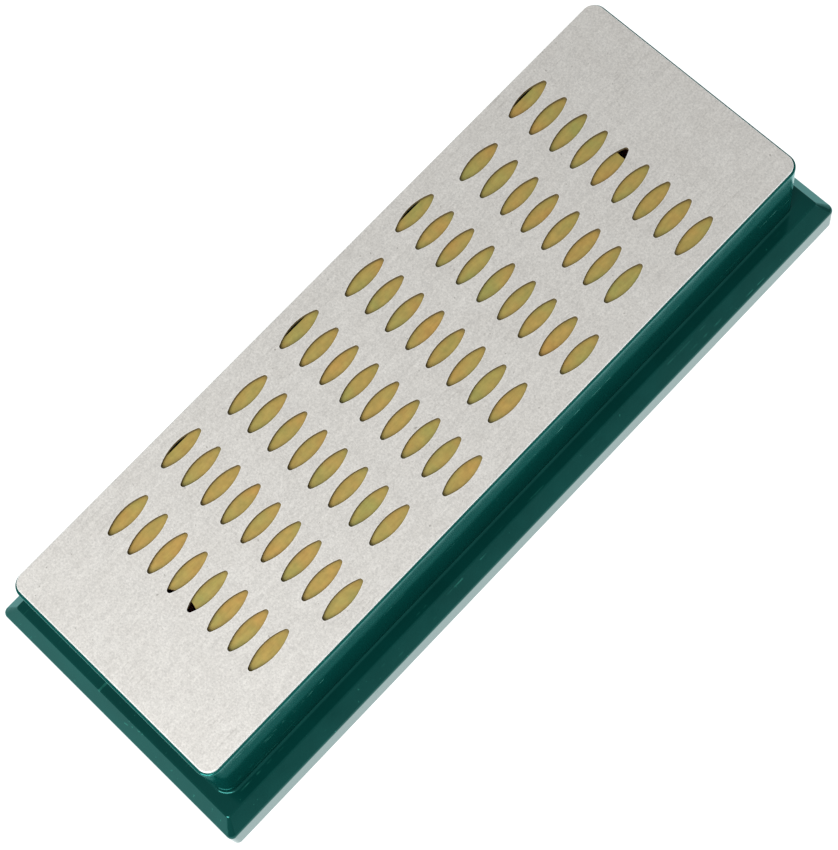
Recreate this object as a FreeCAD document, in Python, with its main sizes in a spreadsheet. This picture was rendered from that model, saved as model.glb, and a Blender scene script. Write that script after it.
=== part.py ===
import FreeCAD, Part
import math
import os

import Sketcher

# Bench whetstone: a perforated diamond plate bonded on a stepped plastic base.
# Frame: X across the width, Y along the length, Z up, origin at the centre of
# the resting plane. All sizes are in millimetres.

SIZES = {
    # honing plate, 6 in by 2 in
    "plate_length": 152.4,
    "plate_width": 50.8,
    "plate_thick": 0.8,
    "plate_corner": 2.4,
    "plate_round": 0.25,
    # lens-shaped relief holes, long axis along Y
    "hole_length": 9.9,
    "hole_width": 3.1,
    "hole_tip": 0.55,
    "side_margin": 4.84,
    "end_margin": 23.0,
    "short_row_shift": 0.72,
    # base moulding: block that carries the plate
    "rim_side": 0.35,
    "rim_end": 0.55,
    "rim_round": 0.35,
    "moulding_height": 28.0,
    # base moulding: flange round the foot of the block
    "flange_reach": 5.7,
    "flange_height": 9.8,
    "flange_corner": 1.2,
    "ridge_corner": 0.5,
    "chamfer_run": 2.65,
    "chamfer_drop": 3.3,
    "shoulder_round": 1.0,
    "ridge_round": 0.4,
    "crease_round": 0.5,
    "bottom_round": 0.4,
    # pocket in the top of the block and the backing that fills it
    "pocket_side_land": 2.65,
    "pocket_end_land": 3.7,
    "pocket_depth": 3.0,
    "pocket_corner": 2.0,
    "core_gap": 0.3,
    "core_slip": 1.0,
    "core_hole": 13.4,
    "core_hole_inset": 13.15,
    "recess_depth": 2.0,
    # cored underside
    "wall_thick": 3.0,
    "rib_thick": 2.0,
    "deck_thick": 4.0,
    # rubber feet pressed into the underside
    "foot_width": 6.4,
    "foot_thick": 2.4,
    "foot_stand": 0.8,
    "foot_inset": 5.2,
    "foot_round": 0.4,
}

LONG_ROW_HOLES = 9
SHORT_ROW_HOLES = 8
ROW_PAIRS = 4
CELLS_ACROSS = 3
CELLS_ALONG = 10

# Derived sizes, written as formulas on the sheet's cells.
BLOCK_WIDTH = "(Sizes.plate_width + 2 * Sizes.rim_side)"
BLOCK_LENGTH = "(Sizes.plate_length + 2 * Sizes.rim_end)"
BLOCK_CORNER = "(Sizes.plate_corner + Sizes.rim_side)"
FLANGE_WIDTH = "(Sizes.plate_width + 2 * Sizes.flange_reach)"
FLANGE_LENGTH = "(Sizes.plate_length + 2 * Sizes.flange_reach)"
SHOULDER_LEVEL = "(Sizes.flange_height - Sizes.chamfer_drop)"
RIDGE_WIDTH = f"({FLANGE_WIDTH} - 2 * Sizes.chamfer_run)"
RIDGE_LENGTH = f"({FLANGE_LENGTH} - 2 * Sizes.chamfer_run)"
HOLE_PITCH = f"((Sizes.plate_width - 2 * Sizes.side_margin) / {LONG_ROW_HOLES - 1})"
ROW_PITCH = f"((Sizes.plate_length - 2 * Sizes.end_margin) / {2 * ROW_PAIRS - 1})"
POCKET_WIDTH = "(Sizes.plate_width - 2 * Sizes.pocket_side_land)"
POCKET_LENGTH = "(Sizes.plate_length - 2 * Sizes.pocket_end_land)"
POCKET_FLOOR = "(Sizes.moulding_height - Sizes.pocket_depth)"
CELL_WIDTH = (f"(({BLOCK_WIDTH} - 2 * Sizes.wall_thick"
              f" - {CELLS_ACROSS - 1} * Sizes.rib_thick) / {CELLS_ACROSS})")
CELL_LENGTH = (f"(({BLOCK_LENGTH} - 2 * Sizes.wall_thick"
               f" - {CELLS_ALONG - 1} * Sizes.rib_thick) / {CELLS_ALONG})")
CELL_DEPTH = f"({POCKET_FLOOR} - Sizes.deck_thick)"
CORE_WIDTH = f"({POCKET_WIDTH} - Sizes.core_gap - Sizes.core_slip)"
CORE_LENGTH = f"({POCKET_LENGTH} - 2 * Sizes.core_gap)"
CORE_HOLE_Y = "(Sizes.plate_length / 2 - Sizes.core_hole_inset)"
CORE_SHIFT = "((Sizes.core_slip - Sizes.core_gap) / 2)"
FOOT_X = f"({FLANGE_WIDTH} / 2 - Sizes.foot_inset)"
FOOT_Y = f"({FLANGE_LENGTH} / 2 - Sizes.foot_inset)"
TIP_REACH = "(Sizes.hole_length / 2 - Sizes.hole_tip)"
TIP_SPARE = "(Sizes.hole_width / 2 - Sizes.hole_tip)"
FLANK_RADIUS = (f"(((Sizes.hole_width / 2) ^ 2 - Sizes.hole_tip ^ 2"
                f" + {TIP_REACH} ^ 2) / (2 * {TIP_SPARE}))")
FLANK_OFFSET = f"({FLANK_RADIUS} - Sizes.hole_width / 2)"
JOIN_X = f"(Sizes.hole_tip * {FLANK_OFFSET} / ({FLANK_RADIUS} - Sizes.hole_tip))"
JOIN_Y = f"({FLANK_RADIUS} * {TIP_REACH} / ({FLANK_RADIUS} - Sizes.hole_tip))"

TINY = 1e-4

doc = FreeCAD.newDocument("whetstone")
sheet = doc.addObject("Spreadsheet::Sheet", "Sizes")
for line, (name, value) in enumerate(SIZES.items(), start=1):
    sheet.set(f"A{line}", name)
    sheet.set(f"B{line}", str(value))
    sheet.setAlias(f"B{line}", name)
doc.recompute()


def worth(formula):
    """The present value of a formula, in millimetres."""
    return float(sheet.evalExpression(formula))


def make_body(name):
    body = doc.addObject("PartDesign::Body", name)
    body.Label = name
    return body


def datum(body, role):
    """One of the body's own origin planes or axes."""
    return next(item for item in body.Origin.OriginFeatures if item.Role == role)


def make_sketch(body, name, role, lift="0"):
    """A sketch on an origin plane, lifted along the plane's normal."""
    sketch = body.newObject("Sketcher::SketchObject", name)
    sketch.AttachmentSupport = [(datum(body, role), "")]
    sketch.MapMode = "FlatFace"
    sketch.setExpression("AttachmentOffset.Base.z", lift)
    doc.recompute()
    return sketch


def name_size(sketch, index, word, formula):
    """Name one constraint and bind it to the sheet."""
    sketch.renameConstraint(index, word)
    sketch.setExpression(f"Constraints.{word}", formula)


def rounded_rectangle(sketch, width, length, corner):
    """Rectangle centred on the sketch's origin, with four equal round corners."""
    half_x = worth(width) / 2
    half_y = worth(length) / 2
    radius = worth(corner)
    turns = [(1, 1), (-1, 1), (-1, -1), (1, -1)]
    arcs = []
    for quarter, (side_x, side_y) in enumerate(turns):
        centre = FreeCAD.Vector(side_x * (half_x - radius), side_y * (half_y - radius), 0)
        circle = Part.Circle(centre, FreeCAD.Vector(0, 0, 1), radius)
        start = quarter * math.pi / 2
        arcs.append(sketch.addGeometry(Part.ArcOfCircle(circle, start, start + math.pi / 2)))
    lines = []
    for quarter, arc in enumerate(arcs):
        following = arcs[(quarter + 1) % 4]
        begin = sketch.Geometry[arc].EndPoint
        finish = sketch.Geometry[following].StartPoint
        line = sketch.addGeometry(Part.LineSegment(begin, finish))
        level = "Horizontal" if quarter % 2 == 0 else "Vertical"
        sketch.addConstraint(Sketcher.Constraint(level, line))
        sketch.addConstraint(Sketcher.Constraint("Tangent", arc, 2, line, 1))
        sketch.addConstraint(Sketcher.Constraint("Tangent", line, 2, following, 1))
        lines.append(line)
    for arc in arcs[1:]:
        sketch.addConstraint(Sketcher.Constraint("Equal", arcs[0], arc))
    sketch.addConstraint(Sketcher.Constraint("Symmetric", arcs[0], 3, arcs[2], 3, -1, 1))
    top, left, bottom, right = lines
    wide = sketch.addConstraint(Sketcher.Constraint("DistanceX", left, 1, right, 1, 2 * half_x))
    name_size(sketch, wide, "width", width)
    long = sketch.addConstraint(Sketcher.Constraint("DistanceY", bottom, 1, top, 1, 2 * half_y))
    name_size(sketch, long, "length", length)
    bend = sketch.addConstraint(Sketcher.Constraint("Radius", arcs[0], radius))
    name_size(sketch, bend, "corner", corner)


def circle_at(sketch, word, centre_x, centre_y, width):
    """Circle whose centre is measured from the sketch's origin."""
    spot = FreeCAD.Vector(worth(centre_x), worth(centre_y), 0)
    ring = Part.Circle(spot, FreeCAD.Vector(0, 0, 1), worth(width) / 2)
    index = sketch.addGeometry(ring)
    for kind, axis, formula in (("DistanceX", "x", centre_x), ("DistanceY", "y", centre_y)):
        place = sketch.addConstraint(Sketcher.Constraint(kind, -1, 1, index, 3, worth(formula)))
        name_size(sketch, place, f"{word}_{axis}", formula)
    size = sketch.addConstraint(Sketcher.Constraint("Diameter", index, worth(width)))
    name_size(sketch, size, f"{word}_across", width)


def lens(sketch):
    """Lens outline: two long flanks of equal radius, joined by small round tips."""
    flank = worth(FLANK_RADIUS)
    offset = worth(FLANK_OFFSET)
    tip = SIZES["hole_tip"]
    reach = worth(TIP_REACH)
    normal = FreeCAD.Vector(0, 0, 1)
    lean = math.atan2(reach, offset)

    def arc(x, y, radius, start, finish):
        circle = Part.Circle(FreeCAD.Vector(x, y, 0), normal, radius)
        return sketch.addGeometry(Part.ArcOfCircle(circle, start, finish))

    right = arc(-offset, 0, flank, -lean, lean)
    upper = arc(0, reach, tip, lean, math.pi - lean)
    left = arc(offset, 0, flank, math.pi - lean, math.pi + lean)
    lower = arc(0, -reach, tip, math.pi + lean, 2 * math.pi - lean)
    loop = [right, upper, left, lower]
    for first, second in zip(loop, loop[1:] + loop[:1]):
        sketch.addConstraint(Sketcher.Constraint("Coincident", first, 2, second, 1))
    sketch.addConstraint(Sketcher.Constraint("Symmetric", right, 2, left, 1, -2))
    sketch.addConstraint(Sketcher.Constraint("Symmetric", right, 1, left, 2, -2))
    sketch.addConstraint(Sketcher.Constraint("Symmetric", right, 2, right, 1, -1))
    sketch.addConstraint(Sketcher.Constraint("Equal", right, left))
    sketch.addConstraint(Sketcher.Constraint("Equal", upper, lower))
    size = sketch.addConstraint(Sketcher.Constraint("Radius", right, flank))
    name_size(sketch, size, "flank", FLANK_RADIUS)
    size = sketch.addConstraint(Sketcher.Constraint("Radius", upper, tip))
    name_size(sketch, size, "tip", "Sizes.hole_tip")
    join = sketch.addConstraint(Sketcher.Constraint("DistanceX", -1, 1, right, 2, worth(JOIN_X)))
    name_size(sketch, join, "join_x", JOIN_X)
    join = sketch.addConstraint(Sketcher.Constraint("DistanceY", -1, 1, right, 2, worth(JOIN_Y)))
    name_size(sketch, join, "join_y", JOIN_Y)


def pad(body, sketch, height):
    feature = body.newObject("PartDesign::Pad", f"{sketch.Name}_pad")
    feature.Profile = sketch
    feature.setExpression("Length", height)
    sketch.Visibility = False
    doc.recompute()
    return feature


def taper(body, lower, upper):
    """Straight-sided loft between two outlines, added to the body."""
    feature = body.newObject("PartDesign::AdditiveLoft", f"{upper.Name}_taper")
    feature.Profile = lower
    feature.Sections = [upper]
    feature.Ruled = True
    lower.Visibility = False
    upper.Visibility = False
    doc.recompute()
    return feature


def cut(body, sketch, depth=None, upward=False):
    """Pocket of a given depth, or through everything when no depth is given."""
    before = body.Shape.Volume
    feature = body.newObject("PartDesign::Pocket", f"{sketch.Name}_cut")
    feature.Profile = sketch
    if depth is None:
        feature.Type = "ThroughAll"
    else:
        feature.setExpression("Length", depth)
    feature.Reversed = upward
    sketch.Visibility = False
    doc.recompute()
    if body.Shape.Volume > before - TINY:
        raise RuntimeError(f"{feature.Name} removes nothing")
    return feature


def repeat(body, feature, count_x, span_x, count_y, span_y):
    """Copies of a feature in a rectangular grid that starts at the feature."""
    before = body.Shape.Volume
    grid = body.newObject("PartDesign::MultiTransform", f"{feature.Name}_grid")
    grid.Originals = [feature]
    steps = []
    for role, count, span in (("X_Axis", count_x, span_x), ("Y_Axis", count_y, span_y)):
        step = body.newObject("PartDesign::LinearPattern", f"{feature.Name}_{role}")
        step.Direction = (datum(body, role), [""])
        step.setExpression("Length", span)
        step.Occurrences = count
        steps.append(step)
    grid.Transformations = steps
    body.Tip = grid
    doc.recompute()
    if body.Shape.Volume > before - TINY:
        raise RuntimeError(f"{grid.Name} adds no copies")
    return grid


def soften(body, name, wanted, radius):
    """Round the edges of the tip that pass the test."""
    tip = body.Tip
    edges = [f"Edge{index}" for index, edge in enumerate(tip.Shape.Edges, start=1)
             if wanted(edge.BoundBox)]
    feature = body.newObject("PartDesign::Fillet", name)
    feature.Base = (tip, edges)
    feature.setExpression("Radius", radius)
    doc.recompute()
    return feature


def lies_at(box, level):
    return abs(box.ZMin - level) < TINY and abs(box.ZMax - level) < TINY


def make_abrasive_plate():
    """Steel plate with alternate rows of nine and eight lens-shaped holes."""
    body = make_body("abrasive_plate")
    outline = make_sketch(body, "plate_outline", "XY_Plane")
    rounded_rectangle(outline, "Sizes.plate_width", "Sizes.plate_length", "Sizes.plate_corner")
    pad(body, outline, "Sizes.plate_thick")
    top = SIZES["plate_thick"]
    soften(body, "plate_edge", lambda box: lies_at(box, top), "Sizes.plate_round")
    half_rows = ROW_PAIRS - 0.5
    rows_span = f"{2 * (ROW_PAIRS - 1)} * {ROW_PITCH}"
    for kind, count, shift, row in (("long", LONG_ROW_HOLES, "0", 1 - half_rows),
                                    ("short", SHORT_ROW_HOLES, "Sizes.short_row_shift", -half_rows)):
        hole = make_sketch(body, f"{kind}_row_hole", "XY_Plane")
        hole.setExpression("AttachmentOffset.Base.x",
                           f"-{(count - 1) / 2} * {HOLE_PITCH} - {shift}")
        hole.setExpression("AttachmentOffset.Base.y", f"{row} * {ROW_PITCH}")
        lens(hole)
        first = cut(body, hole, depth=None, upward=True)
        repeat(body, first, count, f"{count - 1} * {HOLE_PITCH}", ROW_PAIRS, rows_span)
    body.setExpression("Placement.Base.z", "Sizes.foot_stand + Sizes.moulding_height")
    return body


def make_base_moulding():
    """Stepped base: bevelled flange below, block above, pocket on top, cells below."""
    body = make_body("base_moulding")
    flange = make_sketch(body, "flange_outline", "XY_Plane")
    rounded_rectangle(flange, FLANGE_WIDTH, FLANGE_LENGTH, "Sizes.flange_corner")
    pad(body, flange, SHOULDER_LEVEL)
    foot_of_bevel = make_sketch(body, "shoulder_outline", "XY_Plane", lift=SHOULDER_LEVEL)
    rounded_rectangle(foot_of_bevel, FLANGE_WIDTH, FLANGE_LENGTH, "Sizes.flange_corner")
    ridge = make_sketch(body, "ridge_outline", "XY_Plane", lift="Sizes.flange_height")
    rounded_rectangle(ridge, RIDGE_WIDTH, RIDGE_LENGTH, "Sizes.ridge_corner")
    taper(body, foot_of_bevel, ridge)

    ledge = SIZES["flange_height"]
    shoulder = worth(SHOULDER_LEVEL)
    soften(body, "shoulder_edge", lambda box: lies_at(box, shoulder), "Sizes.shoulder_round")
    soften(body, "ridge_edge", lambda box: lies_at(box, ledge), "Sizes.ridge_round")

    block = make_sketch(body, "block_outline", "XY_Plane")
    rounded_rectangle(block, BLOCK_WIDTH, BLOCK_LENGTH, BLOCK_CORNER)
    pad(body, block, "Sizes.moulding_height")
    top = SIZES["moulding_height"]
    half_width = worth(BLOCK_WIDTH) / 2
    half_length = worth(BLOCK_LENGTH) / 2
    soften(body, "rim_edge", lambda box: lies_at(box, top), "Sizes.rim_round")
    soften(body, "crease",
           lambda box: lies_at(box, ledge) and box.XMax < half_width + TINY
           and box.XMin > -half_width - TINY and box.YMax < half_length + TINY
           and box.YMin > -half_length - TINY,
           "Sizes.crease_round")
    soften(body, "bottom_edge", lambda box: lies_at(box, 0), "Sizes.bottom_round")

    pocket = make_sketch(body, "backing_pocket", "XY_Plane", lift=POCKET_FLOOR)
    rounded_rectangle(pocket, POCKET_WIDTH, POCKET_LENGTH, "Sizes.pocket_corner")
    cut(body, pocket, depth="Sizes.pocket_depth", upward=True)
    recess = make_sketch(body, "round_recesses", "XY_Plane", lift=POCKET_FLOOR)
    for word, side in (("front", "-"), ("back", "")):
        circle_at(recess, word, "0", f"{side}{CORE_HOLE_Y}", "Sizes.core_hole")
    cut(body, recess, depth="Sizes.recess_depth")

    cell = make_sketch(body, "underside_cell", "XY_Plane")
    first_x = f"({CELLS_ACROSS - 1} * ({CELL_WIDTH} + Sizes.rib_thick) / 2)"
    first_y = f"({CELLS_ALONG - 1} * ({CELL_LENGTH} + Sizes.rib_thick) / 2)"
    cell.setExpression("AttachmentOffset.Base.x", f"-{first_x}")
    cell.setExpression("AttachmentOffset.Base.y", f"-{first_y}")
    rounded_rectangle(cell, CELL_WIDTH, CELL_LENGTH, "Sizes.rib_thick / 2")
    first = cut(body, cell, depth=CELL_DEPTH, upward=True)
    repeat(body, first, CELLS_ACROSS, f"2 * {first_x}", CELLS_ALONG, f"2 * {first_y}")

    seats = make_sketch(body, "foot_seats", "XY_Plane")
    for word, side_x, side_y in FEET:
        circle_at(seats, word, f"{side_x}{FOOT_X}", f"{side_y}{FOOT_Y}", "Sizes.foot_width")
    cut(body, seats, depth="Sizes.foot_thick - Sizes.foot_stand", upward=True)
    body.setExpression("Placement.Base.z", "Sizes.foot_stand")
    return body


def make_backing_core():
    """Amber backing board with a round opening near each end."""
    body = make_body("backing_core")
    outline = make_sketch(body, "core_outline", "XY_Plane")
    rounded_rectangle(outline, CORE_WIDTH, CORE_LENGTH, "Sizes.pocket_corner - Sizes.core_gap")
    pad(body, outline, "Sizes.pocket_depth")
    openings = make_sketch(body, "core_openings", "XY_Plane")
    for word, side in (("front", "-"), ("back", "")):
        circle_at(openings, word, f"-{CORE_SHIFT}", f"{side}{CORE_HOLE_Y}",
                  "Sizes.core_hole")
    cut(body, openings, upward=True)
    body.setExpression("Placement.Base.x", CORE_SHIFT)
    body.setExpression("Placement.Base.z", f"Sizes.foot_stand + {POCKET_FLOOR}")
    return body


def make_foot(name, side_x, side_y):
    """Round rubber foot with a softened lower edge."""
    body = make_body(f"rubber_foot_{name}")
    outline = make_sketch(body, f"{name}_foot_outline", "XY_Plane")
    circle_at(outline, "foot", "0", "0", "Sizes.foot_width")
    pad(body, outline, "Sizes.foot_thick")
    soften(body, f"{name}_foot_edge", lambda box: lies_at(box, 0), "Sizes.foot_round")
    body.setExpression("Placement.Base.x", f"{side_x}{FOOT_X}")
    body.setExpression("Placement.Base.y", f"{side_y}{FOOT_Y}")
    return body


FEET = [
    ("front_left", "-", "-"),
    ("front_right", "", "-"),
    ("back_left", "-", ""),
    ("back_right", "", ""),
]

subparts = [make_base_moulding(), make_backing_core(), make_abrasive_plate()]
subparts += [make_foot(*foot) for foot in FEET]
doc.recompute()

for item in doc.Objects:
    if "Invalid" in item.State or "Error" in item.State:
        raise RuntimeError(f"{item.Name} is {item.State}")
os.makedirs("parts", exist_ok=True)
for part in subparts:
    if part.Shape.isNull() or not part.Shape.isValid():
        raise RuntimeError(f"{part.Label} has no valid shape")
    part.Shape.exportStep(f"parts/{part.Label}.step")
    print(part.Label, round(part.Shape.Volume, 1), "mm3")
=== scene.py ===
import bpy
from mathutils import Matrix, Vector


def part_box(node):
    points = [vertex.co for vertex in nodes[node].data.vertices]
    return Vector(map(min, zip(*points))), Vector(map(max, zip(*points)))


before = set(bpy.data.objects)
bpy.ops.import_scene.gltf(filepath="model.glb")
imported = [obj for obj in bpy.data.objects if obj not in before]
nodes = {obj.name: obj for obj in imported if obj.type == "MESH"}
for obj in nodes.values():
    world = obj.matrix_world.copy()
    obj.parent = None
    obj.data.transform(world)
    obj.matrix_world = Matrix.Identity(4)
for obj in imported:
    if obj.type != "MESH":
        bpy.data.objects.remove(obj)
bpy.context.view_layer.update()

MM = 0.001
plate_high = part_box("abrasive_plate")[1]
core_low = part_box("backing_core")[0]


def srgb(red, green, blue):
    """Linear colour from display values between 0 and 255."""
    def line(value):
        value /= 255
        return value / 12.92 if value <= 0.04045 else ((value + 0.055) / 1.055) ** 2.4
    return (line(red), line(green), line(blue), 1.0)


# ---------------------------------------------------------------- sizes and colours
CAMERA_PLACE = Vector((119.25, -63.78, 406.64)) * MM
CAMERA_AIM = Vector((8.35, -6.01, 29.6)) * MM
IMAGE_UP = Vector((-0.640, 0.709, 0.297))
CAMERA_LENS = 94.41
SENSOR_WIDTH = 36
CLIP_START = 0.01

# The walls lighten upwards between these heights, as painted light on the upper walls.
PAINTED_LIGHT_FROM, PAINTED_LIGHT_TO = 11 * MM, 23 * MM
# The flange's upright side gets a slight painted reflection of the pale floor below the first of
# these heights.
REFLECTION_BAND_TOP, REFLECTION_BAND_FULL = 8.3 * MM, 7.3 * MM
RUB_AND_HIGHLIGHT_RADIUS = 0.6 * MM
DIRT_REACH = 1.2 * MM
RECESS_MIDDLE = 63.05 * MM
RECESS_RADIUS = 7.2 * MM
RECESS_TOP_GAP = 0.05 * MM
RECESS_REACH = 2.5 * MM
PLATE_BORDER = 1.5 * MM
BURR_AND_HIGHLIGHT_RADIUS = 0.22 * MM
SHADE_REACH = 1.0 * MM

GREEN_DARK, GREEN_LIGHT = (0.0008, 0.048, 0.041), (0.0012, 0.058, 0.050)
GREEN_PAINTED_LIGHT = (0.0020, 0.090, 0.078, 1)
GREEN_WEAR_AND_HIGHLIGHT = srgb(60, 150, 132)
GREEN_PAINTED_REFLECTION = (0.30, 0.56, 0.53, 1)
GLOSS_TINT = (0.44, 1, 0.98, 1)
REFLECTION_BAND_TINT = (0.85, 1, 1, 1)
TINTED_GLOSS = 0.55  # how far the plastic's own green colours its reflections
RECESS_MAROON = (0.42, 0.125, 0.105, 1)

PLATE_DARK, PLATE_LIGHT = (0.765, 0.737, 0.692), (0.815, 0.790, 0.746)
PLATE_HATCH = srgb(176, 172, 166)
PLATE_PIT = srgb(140, 136, 130)
PLATE_BURR_AND_HIGHLIGHT = (0.95, 0.94, 0.92, 1)
PLATE_OUTER_HIGHLIGHT = (0.95, 0.95, 0.94, 1)
HOLE_WALL_SHADE = (0.18, 0.135, 0.065, 1)

AMBER_GREENISH, AMBER_MIDDLE = (0.355, 0.325, 0.082), (0.430, 0.312, 0.078)
AMBER_ORANGE = (0.500, 0.300, 0.073)
AMBER_PAINTED_SHADE = (0.15, 0.12, 0.04, 1)
AMBER_WALL = (0.12, 0.035, 0.030, 1)

RUBBER_DARK, RUBBER_LIGHT = srgb(28, 28, 28), srgb(44, 43, 42)

FLOOR_REACH = 3.0
FLOOR_COLOUR = (0.15, 0.15, 0.15, 1)
FLOOR_GLOW = 1.08
STUDIO_COLOUR, STUDIO_GLOW = (0.97, 0.99, 1.0, 1), 0.45
KEY_PLACE, KEY_AIM = (0.15, -0.40, 0.42), (0, -0.03, 0)
KEY_SIZE, KEY_POWER = 0.36, 4.0


def grey(value):
    return (value, value, value)


def aim(item, target, up):
    """Turn a camera or lamp so that its -Z looks at the target."""
    back = (item.location - target).normalized()
    right = up.cross(back).normalized()
    item.matrix_world = Matrix.Translation(item.location) @ Matrix(
        (right, back.cross(right), back)).transposed().to_4x4()


camera = bpy.data.objects.new("camera", bpy.data.cameras.new("camera"))
bpy.context.scene.collection.objects.link(camera)
camera.location = CAMERA_PLACE
camera.data.lens = CAMERA_LENS
camera.data.sensor_width = SENSOR_WIDTH
camera.data.clip_start = CLIP_START
aim(camera, CAMERA_AIM, IMAGE_UP)
bpy.context.scene.camera = camera


# ---------------------------------------------------------------- materials
class Build:
    """Small helper that adds and links shader nodes in one material."""

    def __init__(self, name):
        self.material = bpy.data.materials.new(name)
        self.material.use_nodes = True
        self.tree = self.material.node_tree
        self.shader = self.tree.nodes["Principled BSDF"]
        self.spot = self.tree.nodes.new("ShaderNodeTexCoord").outputs["Object"]

    def node(self, kind, settings=None, **inputs):
        item = self.tree.nodes.new(kind)
        for key, value in (settings or {}).items():
            setattr(item, key, value)
        for key, value in inputs.items():
            self.put(item, key.replace("_", " "), value)
        return item

    def put(self, item, key, value):
        """Link or set one input, named or counted."""
        socket = item.inputs[key]
        if isinstance(value, bpy.types.NodeSocket):
            self.tree.links.new(value, socket)
        else:
            socket.default_value = value

    def set(self, key, value):
        self.put(self.shader, key, value)

    def noise(self, size_mm, detail=3.0, rough=0.5, vector=None):
        """Noise whose blobs are about size_mm across, as a value near 0.5."""
        return self.node("ShaderNodeTexNoise", Vector=vector or self.spot,
                         Scale=1 / (size_mm * MM), Detail=detail, Roughness=rough).outputs["Fac"]

    def grain(self, size_mm, detail, rough, along, turn):
        """Noise drawn out along Y by 1 / along; each turn picks another pattern of it."""
        stretched = self.node("ShaderNodeMapping", Vector=self.spot, Scale=(1, along, 1),
                              Rotation=(0, 0, turn))
        return self.noise(size_mm, detail, rough, stretched.outputs["Vector"])

    def ramp(self, value, *stops):
        item = self.node("ShaderNodeValToRGB", Fac=value)
        marks = item.color_ramp.elements
        while len(marks) < len(stops):
            marks.new(0.5)
        for mark, (place, colour) in zip(marks, stops):
            mark.position = place
            mark.color = colour if len(colour) == 4 else (*colour, 1)
        return item.outputs["Color"]

    def level(self, value, low, high, to_low=0.0, to_high=1.0):
        item = self.node("ShaderNodeMapRange")
        for index, part in enumerate((value, low, high, to_low, to_high)):
            self.put(item, index, part)
        return item.outputs["Result"]

    def math(self, operation, first, second=0.0, third=0.0):
        item = self.node("ShaderNodeMath", {"operation": operation})
        for index, part in enumerate((first, second, third)):
            self.put(item, index, part)
        return item.outputs[0]

    def times(self, first, second):
        return self.math("MULTIPLY", first, second)

    def mix(self, amount, first, second, blend="MIX"):
        item = self.node("ShaderNodeMix", {"data_type": "RGBA", "blend_type": blend})
        for key, value in ((0, amount), (6, first), (7, second)):
            self.put(item, key, value)
        return item.outputs[2]

    def darken(self, amount, colour, value, low, high):
        """Multiply a colour by greys that run between two stops of a value."""
        return self.mix(amount, colour, self.ramp(value, low, high), "MULTIPLY")

    def axes(self):
        item = self.node("ShaderNodeSeparateXYZ", Vector=self.spot)
        return item.outputs["X"], item.outputs["Y"], item.outputs["Z"]

    def steepness(self):
        """0 on level faces, 1 on upright ones."""
        normal = self.tree.nodes.new("ShaderNodeTexCoord").outputs["Normal"]
        up = self.node("ShaderNodeSeparateXYZ", Vector=normal).outputs["Z"]
        return self.math("SUBTRACT", 1.0, self.math("ABSOLUTE", up))

    def edge(self, radius):
        """0 on broad faces, towards 1 along convex edges and in creases."""
        rounded = self.node("ShaderNodeBevel", {"samples": 6}, Radius=radius).outputs["Normal"]
        plain = self.tree.nodes.new("ShaderNodeNewGeometry").outputs["Normal"]
        along = self.node("ShaderNodeVectorMath", {"operation": "DOT_PRODUCT"})
        self.put(along, 0, rounded)
        self.put(along, 1, plain)
        return self.level(along.outputs["Value"], 0.995, 0.90)

    def openness(self, reach):
        """1 on open faces, less in corners and creases."""
        return self.node("ShaderNodeAmbientOcclusion", {"samples": 8}, Distance=reach).outputs["AO"]

    def within(self, half_x, half_y):
        """1 inside the upright box about the origin with these half sizes."""
        x, y, _ = self.axes()
        return self.times(self.math("LESS_THAN", self.math("ABSOLUTE", x), half_x),
                          self.math("LESS_THAN", self.math("ABSOLUTE", y), half_y))

    def inside_recess(self):
        """1 in the round recesses below the backing."""
        x, y, z = self.axes()
        from_middle = self.math("SUBTRACT", self.math("ABSOLUTE", y), RECESS_MIDDLE)
        across = self.math("SQRT", self.math("ADD", self.times(x, x),
                                             self.times(from_middle, from_middle)))
        below = self.math("LESS_THAN", z, core_low.z - RECESS_TOP_GAP)
        above = self.math("GREATER_THAN", z, core_low.z - RECESS_REACH)
        return self.times(self.times(below, above), self.math("LESS_THAN", across, RECESS_RADIUS))

    def bump(self, height, depth_mm, strength):
        item = self.node("ShaderNodeBump", Height=height, Distance=depth_mm * MM,
                         Strength=strength)
        self.set("Normal", item.outputs["Normal"])


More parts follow.
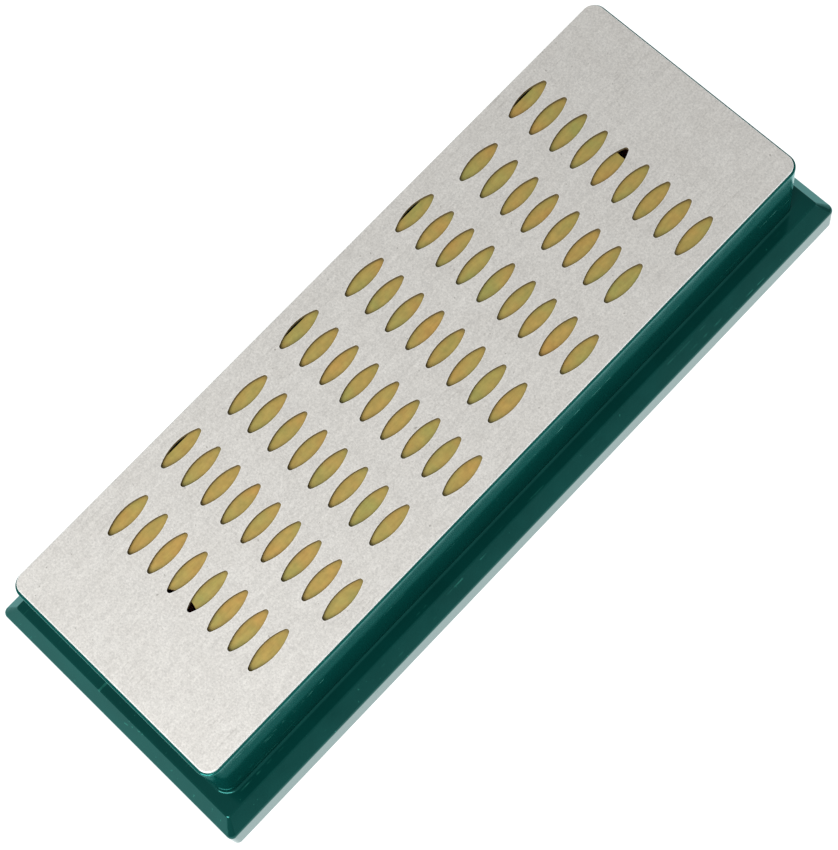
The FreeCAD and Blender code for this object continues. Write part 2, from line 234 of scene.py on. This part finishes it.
def green_plastic():
    """Gloss moulded plastic: mottle, scratches, dust, edges lighter from rubbing and painted
    highlight, painted light on the upper walls, a painted floor reflection low on the flange side,
    maroon in the recesses.
    """
    m = Build("green_plastic")
    colour = m.ramp(m.noise(9, 4), (0.3, GREEN_DARK), (0.7, GREEN_LIGHT))
    # painted light: the walls lighten towards the top
    colour = m.mix(m.level(m.axes()[2], PAINTED_LIGHT_FROM, PAINTED_LIGHT_TO), colour, GREEN_PAINTED_LIGHT)
    scratch_a = m.grain(1.2, 2, 0.5, along=0.04, turn=0.5)
    scratch_b = m.grain(0.9, 2, 0.5, along=0.03, turn=-0.9)
    lines = m.math("MAXIMUM", m.level(scratch_a, 0.67, 0.72), m.level(scratch_b, 0.68, 0.73))
    lines = m.times(lines, m.level(m.noise(2.2, 2), 0.48, 0.60))
    dust = m.level(m.noise(0.7, 1), 0.76, 0.80)
    marks = m.math("MAXIMUM", m.times(lines, 0.28), m.times(dust, 0.35))
    # edges lightened in colour: partly rub wear, partly painted highlight
    rubbed_and_highlight = m.times(m.edge(RUB_AND_HIGHLIGHT_RADIUS), m.level(m.noise(3, 4), 0.35, 0.6, 0.02, 0.22))
    colour = m.mix(m.math("MAXIMUM", marks, rubbed_and_highlight), colour, GREEN_WEAR_AND_HIGHLIGHT)
    # painted reflection of the pale floor: the lower upright flange side is lightened a little and
    # its gloss made whiter
    floor_reflection_band = m.times(m.level(m.axes()[2], REFLECTION_BAND_TOP, REFLECTION_BAND_FULL),
                      m.level(m.steepness(), 0.6, 0.9))
    colour = m.mix(m.times(floor_reflection_band, 0.10), colour, GREEN_PAINTED_REFLECTION)
    colour = m.mix(m.inside_recess(), colour, RECESS_MAROON)
    m.set("Base Color", colour)
    rough = m.math("ADD", m.level(m.noise(5, 4), 0.3, 0.7, 0.07, 0.11), m.times(lines, 0.2))
    dirt = m.level(m.openness(DIRT_REACH), 0.85, 0.45, 0.0, 0.3)
    m.set("Roughness", m.math("ADD", rough, dirt))
    m.set("Metallic", TINTED_GLOSS)
    m.set("Specular Tint", m.mix(floor_reflection_band, GLOSS_TINT, REFLECTION_BAND_TINT))
    m.set("Specular IOR Level", 0.55)
    m.bump(m.noise(0.8, 3), 0.002, 0.4)
    return m.material


def diamond_plate():
    """Nickel plate set with fine diamond grit; outer edge lightened as a painted highlight, painted
    shade on the walls in the holes.
    """
    m = Build("diamond_plate")
    fine = m.noise(0.32, 4, 0.8)
    grit = m.noise(0.22, 2, 0.7)
    streak = m.grain(0.9, 4, 0.65, along=0.14, turn=0.12)
    colour = m.ramp(m.noise(5, 5, 0.65), (0.3, PLATE_DARK), (0.7, PLATE_LIGHT))
    colour = m.darken(0.6, colour, streak, (0.3, grey(0.84)), (0.7, grey(1)))
    colour = m.darken(0.8, colour, fine, (0.30, grey(0.58)), (0.66, grey(1)))
    hatch_a = m.grain(0.32, 2, 0.6, along=0.10, turn=0.25)
    hatch_b = m.grain(0.36, 2, 0.6, along=0.08, turn=-0.20)
    hatch = m.math("MAXIMUM", m.level(hatch_a, 0.60, 0.70), m.level(hatch_b, 0.62, 0.72))
    worked = m.level(m.noise(12, 3), 0.50, 0.62, 0.03, 0.40)
    colour = m.mix(m.times(hatch, worked), colour, PLATE_HATCH)
    pit = m.level(m.noise(0.8, 1), 0.26, 0.21)
    colour = m.mix(m.times(pit, 0.6), colour, PLATE_PIT)
    wall = m.level(m.steepness(), 0.5, 0.9)
    inner = m.within(plate_high.x - PLATE_BORDER, plate_high.y - PLATE_BORDER)
    burr_and_highlight = m.times(m.edge(BURR_AND_HIGHLIGHT_RADIUS), m.math("SUBTRACT", 1.0, wall))
    outer_edge = m.times(m.level(m.steepness(), 0.02, 0.25), m.math("SUBTRACT", 1.0, inner))
    # lighter ring along the top edges: partly burr, partly painted highlight
    colour = m.mix(m.times(burr_and_highlight, 0.55), colour, PLATE_BURR_AND_HIGHLIGHT)
    # painted shade on the walls of the holes
    colour = m.mix(m.times(wall, inner), colour, HOLE_WALL_SHADE)
    # painted highlight: the outer edge and side are lightened, and also made glossier metal
    colour = m.mix(outer_edge, colour, PLATE_OUTER_HIGHLIGHT)
    m.set("Base Color", colour)
    m.set("Metallic", m.math("MULTIPLY_ADD", outer_edge, 0.55, 0.35))
    m.set("Roughness", m.math("MULTIPLY_ADD", outer_edge, -0.28,
                              m.level(fine, 0.3, 0.7, 0.46, 0.58)))
    m.bump(grit, 0.03, 0.6)
    return m.material


def amber_resin():
    """Ochre backing with warmer and greener patches, and painted shade where it meets the hole
    walls.
    """
    m = Build("amber_resin")
    colour = m.ramp(m.noise(8, 3, 0.55), (0.34, AMBER_GREENISH), (0.52, AMBER_MIDDLE),
                    (0.70, AMBER_ORANGE))
    colour = m.darken(0.8, colour, m.noise(1.2, 4), (0.3, grey(0.80)), (0.7, grey(1)))
    thread = m.grain(0.5, 3, 0.6, along=0.2, turn=0.1)
    colour = m.darken(0.7, colour, thread, (0.35, (0.84, 0.84, 0.80)), (0.65, grey(1)))
    # painted shade in the corners next to the hole walls
    colour = m.mix(m.level(m.openness(SHADE_REACH), 0.25, 0.70), AMBER_PAINTED_SHADE, colour)
    colour = m.mix(m.level(m.steepness(), 0.5, 0.9), colour, AMBER_WALL)
    m.set("Base Color", colour)
    m.set("Roughness", m.level(m.noise(2.5, 3), 0.3, 0.7, 0.35, 0.55))
    m.bump(m.noise(1.0, 4), 0.05, 0.6)
    return m.material


def foot_rubber():
    """Matt black rubber with a fine grain."""
    m = Build("foot_rubber")
    m.set("Base Color", m.ramp(m.noise(1.5, 4), (0.3, RUBBER_DARK), (0.7, RUBBER_LIGHT)))
    m.set("Roughness", m.level(m.noise(0.8, 3), 0.3, 0.7, 0.7, 0.85))
    m.bump(m.noise(0.3, 3), 0.02, 0.6)
    return m.material


def dress(name, material):
    mesh = nodes[name].data
    mesh.materials.clear()
    mesh.materials.append(material)


dress("base_moulding", green_plastic())
dress("abrasive_plate", diamond_plate())
dress("backing_core", amber_resin())
rubber = foot_rubber()
for name in nodes:
    if name.startswith("rubber_foot"):
        dress(name, rubber)


# ---------------------------------------------------------------- stage
def floor():
    """Pale table that glows just enough to stay white in the picture."""
    mesh = bpy.data.meshes.new("floor")
    corners = [(side_x * FLOOR_REACH, side_y * FLOOR_REACH, 0)
               for side_x, side_y in ((-1, -1), (1, -1), (1, 1), (-1, 1))]
    mesh.from_pydata(corners, [], [(0, 1, 2, 3)])
    item = bpy.data.objects.new("floor", mesh)
    bpy.context.scene.collection.objects.link(item)
    material = bpy.data.materials.new("floor")
    material.use_nodes = True
    inputs = material.node_tree.nodes["Principled BSDF"].inputs
    inputs["Base Color"].default_value = FLOOR_COLOUR
    inputs["Roughness"].default_value = 0.9
    inputs["Specular IOR Level"].default_value = 0.0
    inputs["Emission Color"].default_value = (1, 1, 1, 1)
    inputs["Emission Strength"].default_value = FLOOR_GLOW
    mesh.materials.append(material)


def key_lamp():
    """Large square lamp above the near end of the stone."""
    light = bpy.data.lights.new("key", "AREA")
    light.shape = "RECTANGLE"
    light.size = light.size_y = KEY_SIZE
    light.energy = KEY_POWER
    item = bpy.data.objects.new("key", light)
    bpy.context.scene.collection.objects.link(item)
    item.location = KEY_PLACE
    aim(item, Vector(KEY_AIM), Vector((0, 0, 1)))


def studio():
    """Even, faintly cool light from all round."""
    world = bpy.data.worlds.new("studio")
    bpy.context.scene.world = world
    world.use_nodes = True
    inputs = world.node_tree.nodes["Background"].inputs
    inputs["Color"].default_value = STUDIO_COLOUR
    inputs["Strength"].default_value = STUDIO_GLOW


floor()
studio()
key_lamp()

bpy.context.scene.view_settings.view_transform = "Standard"
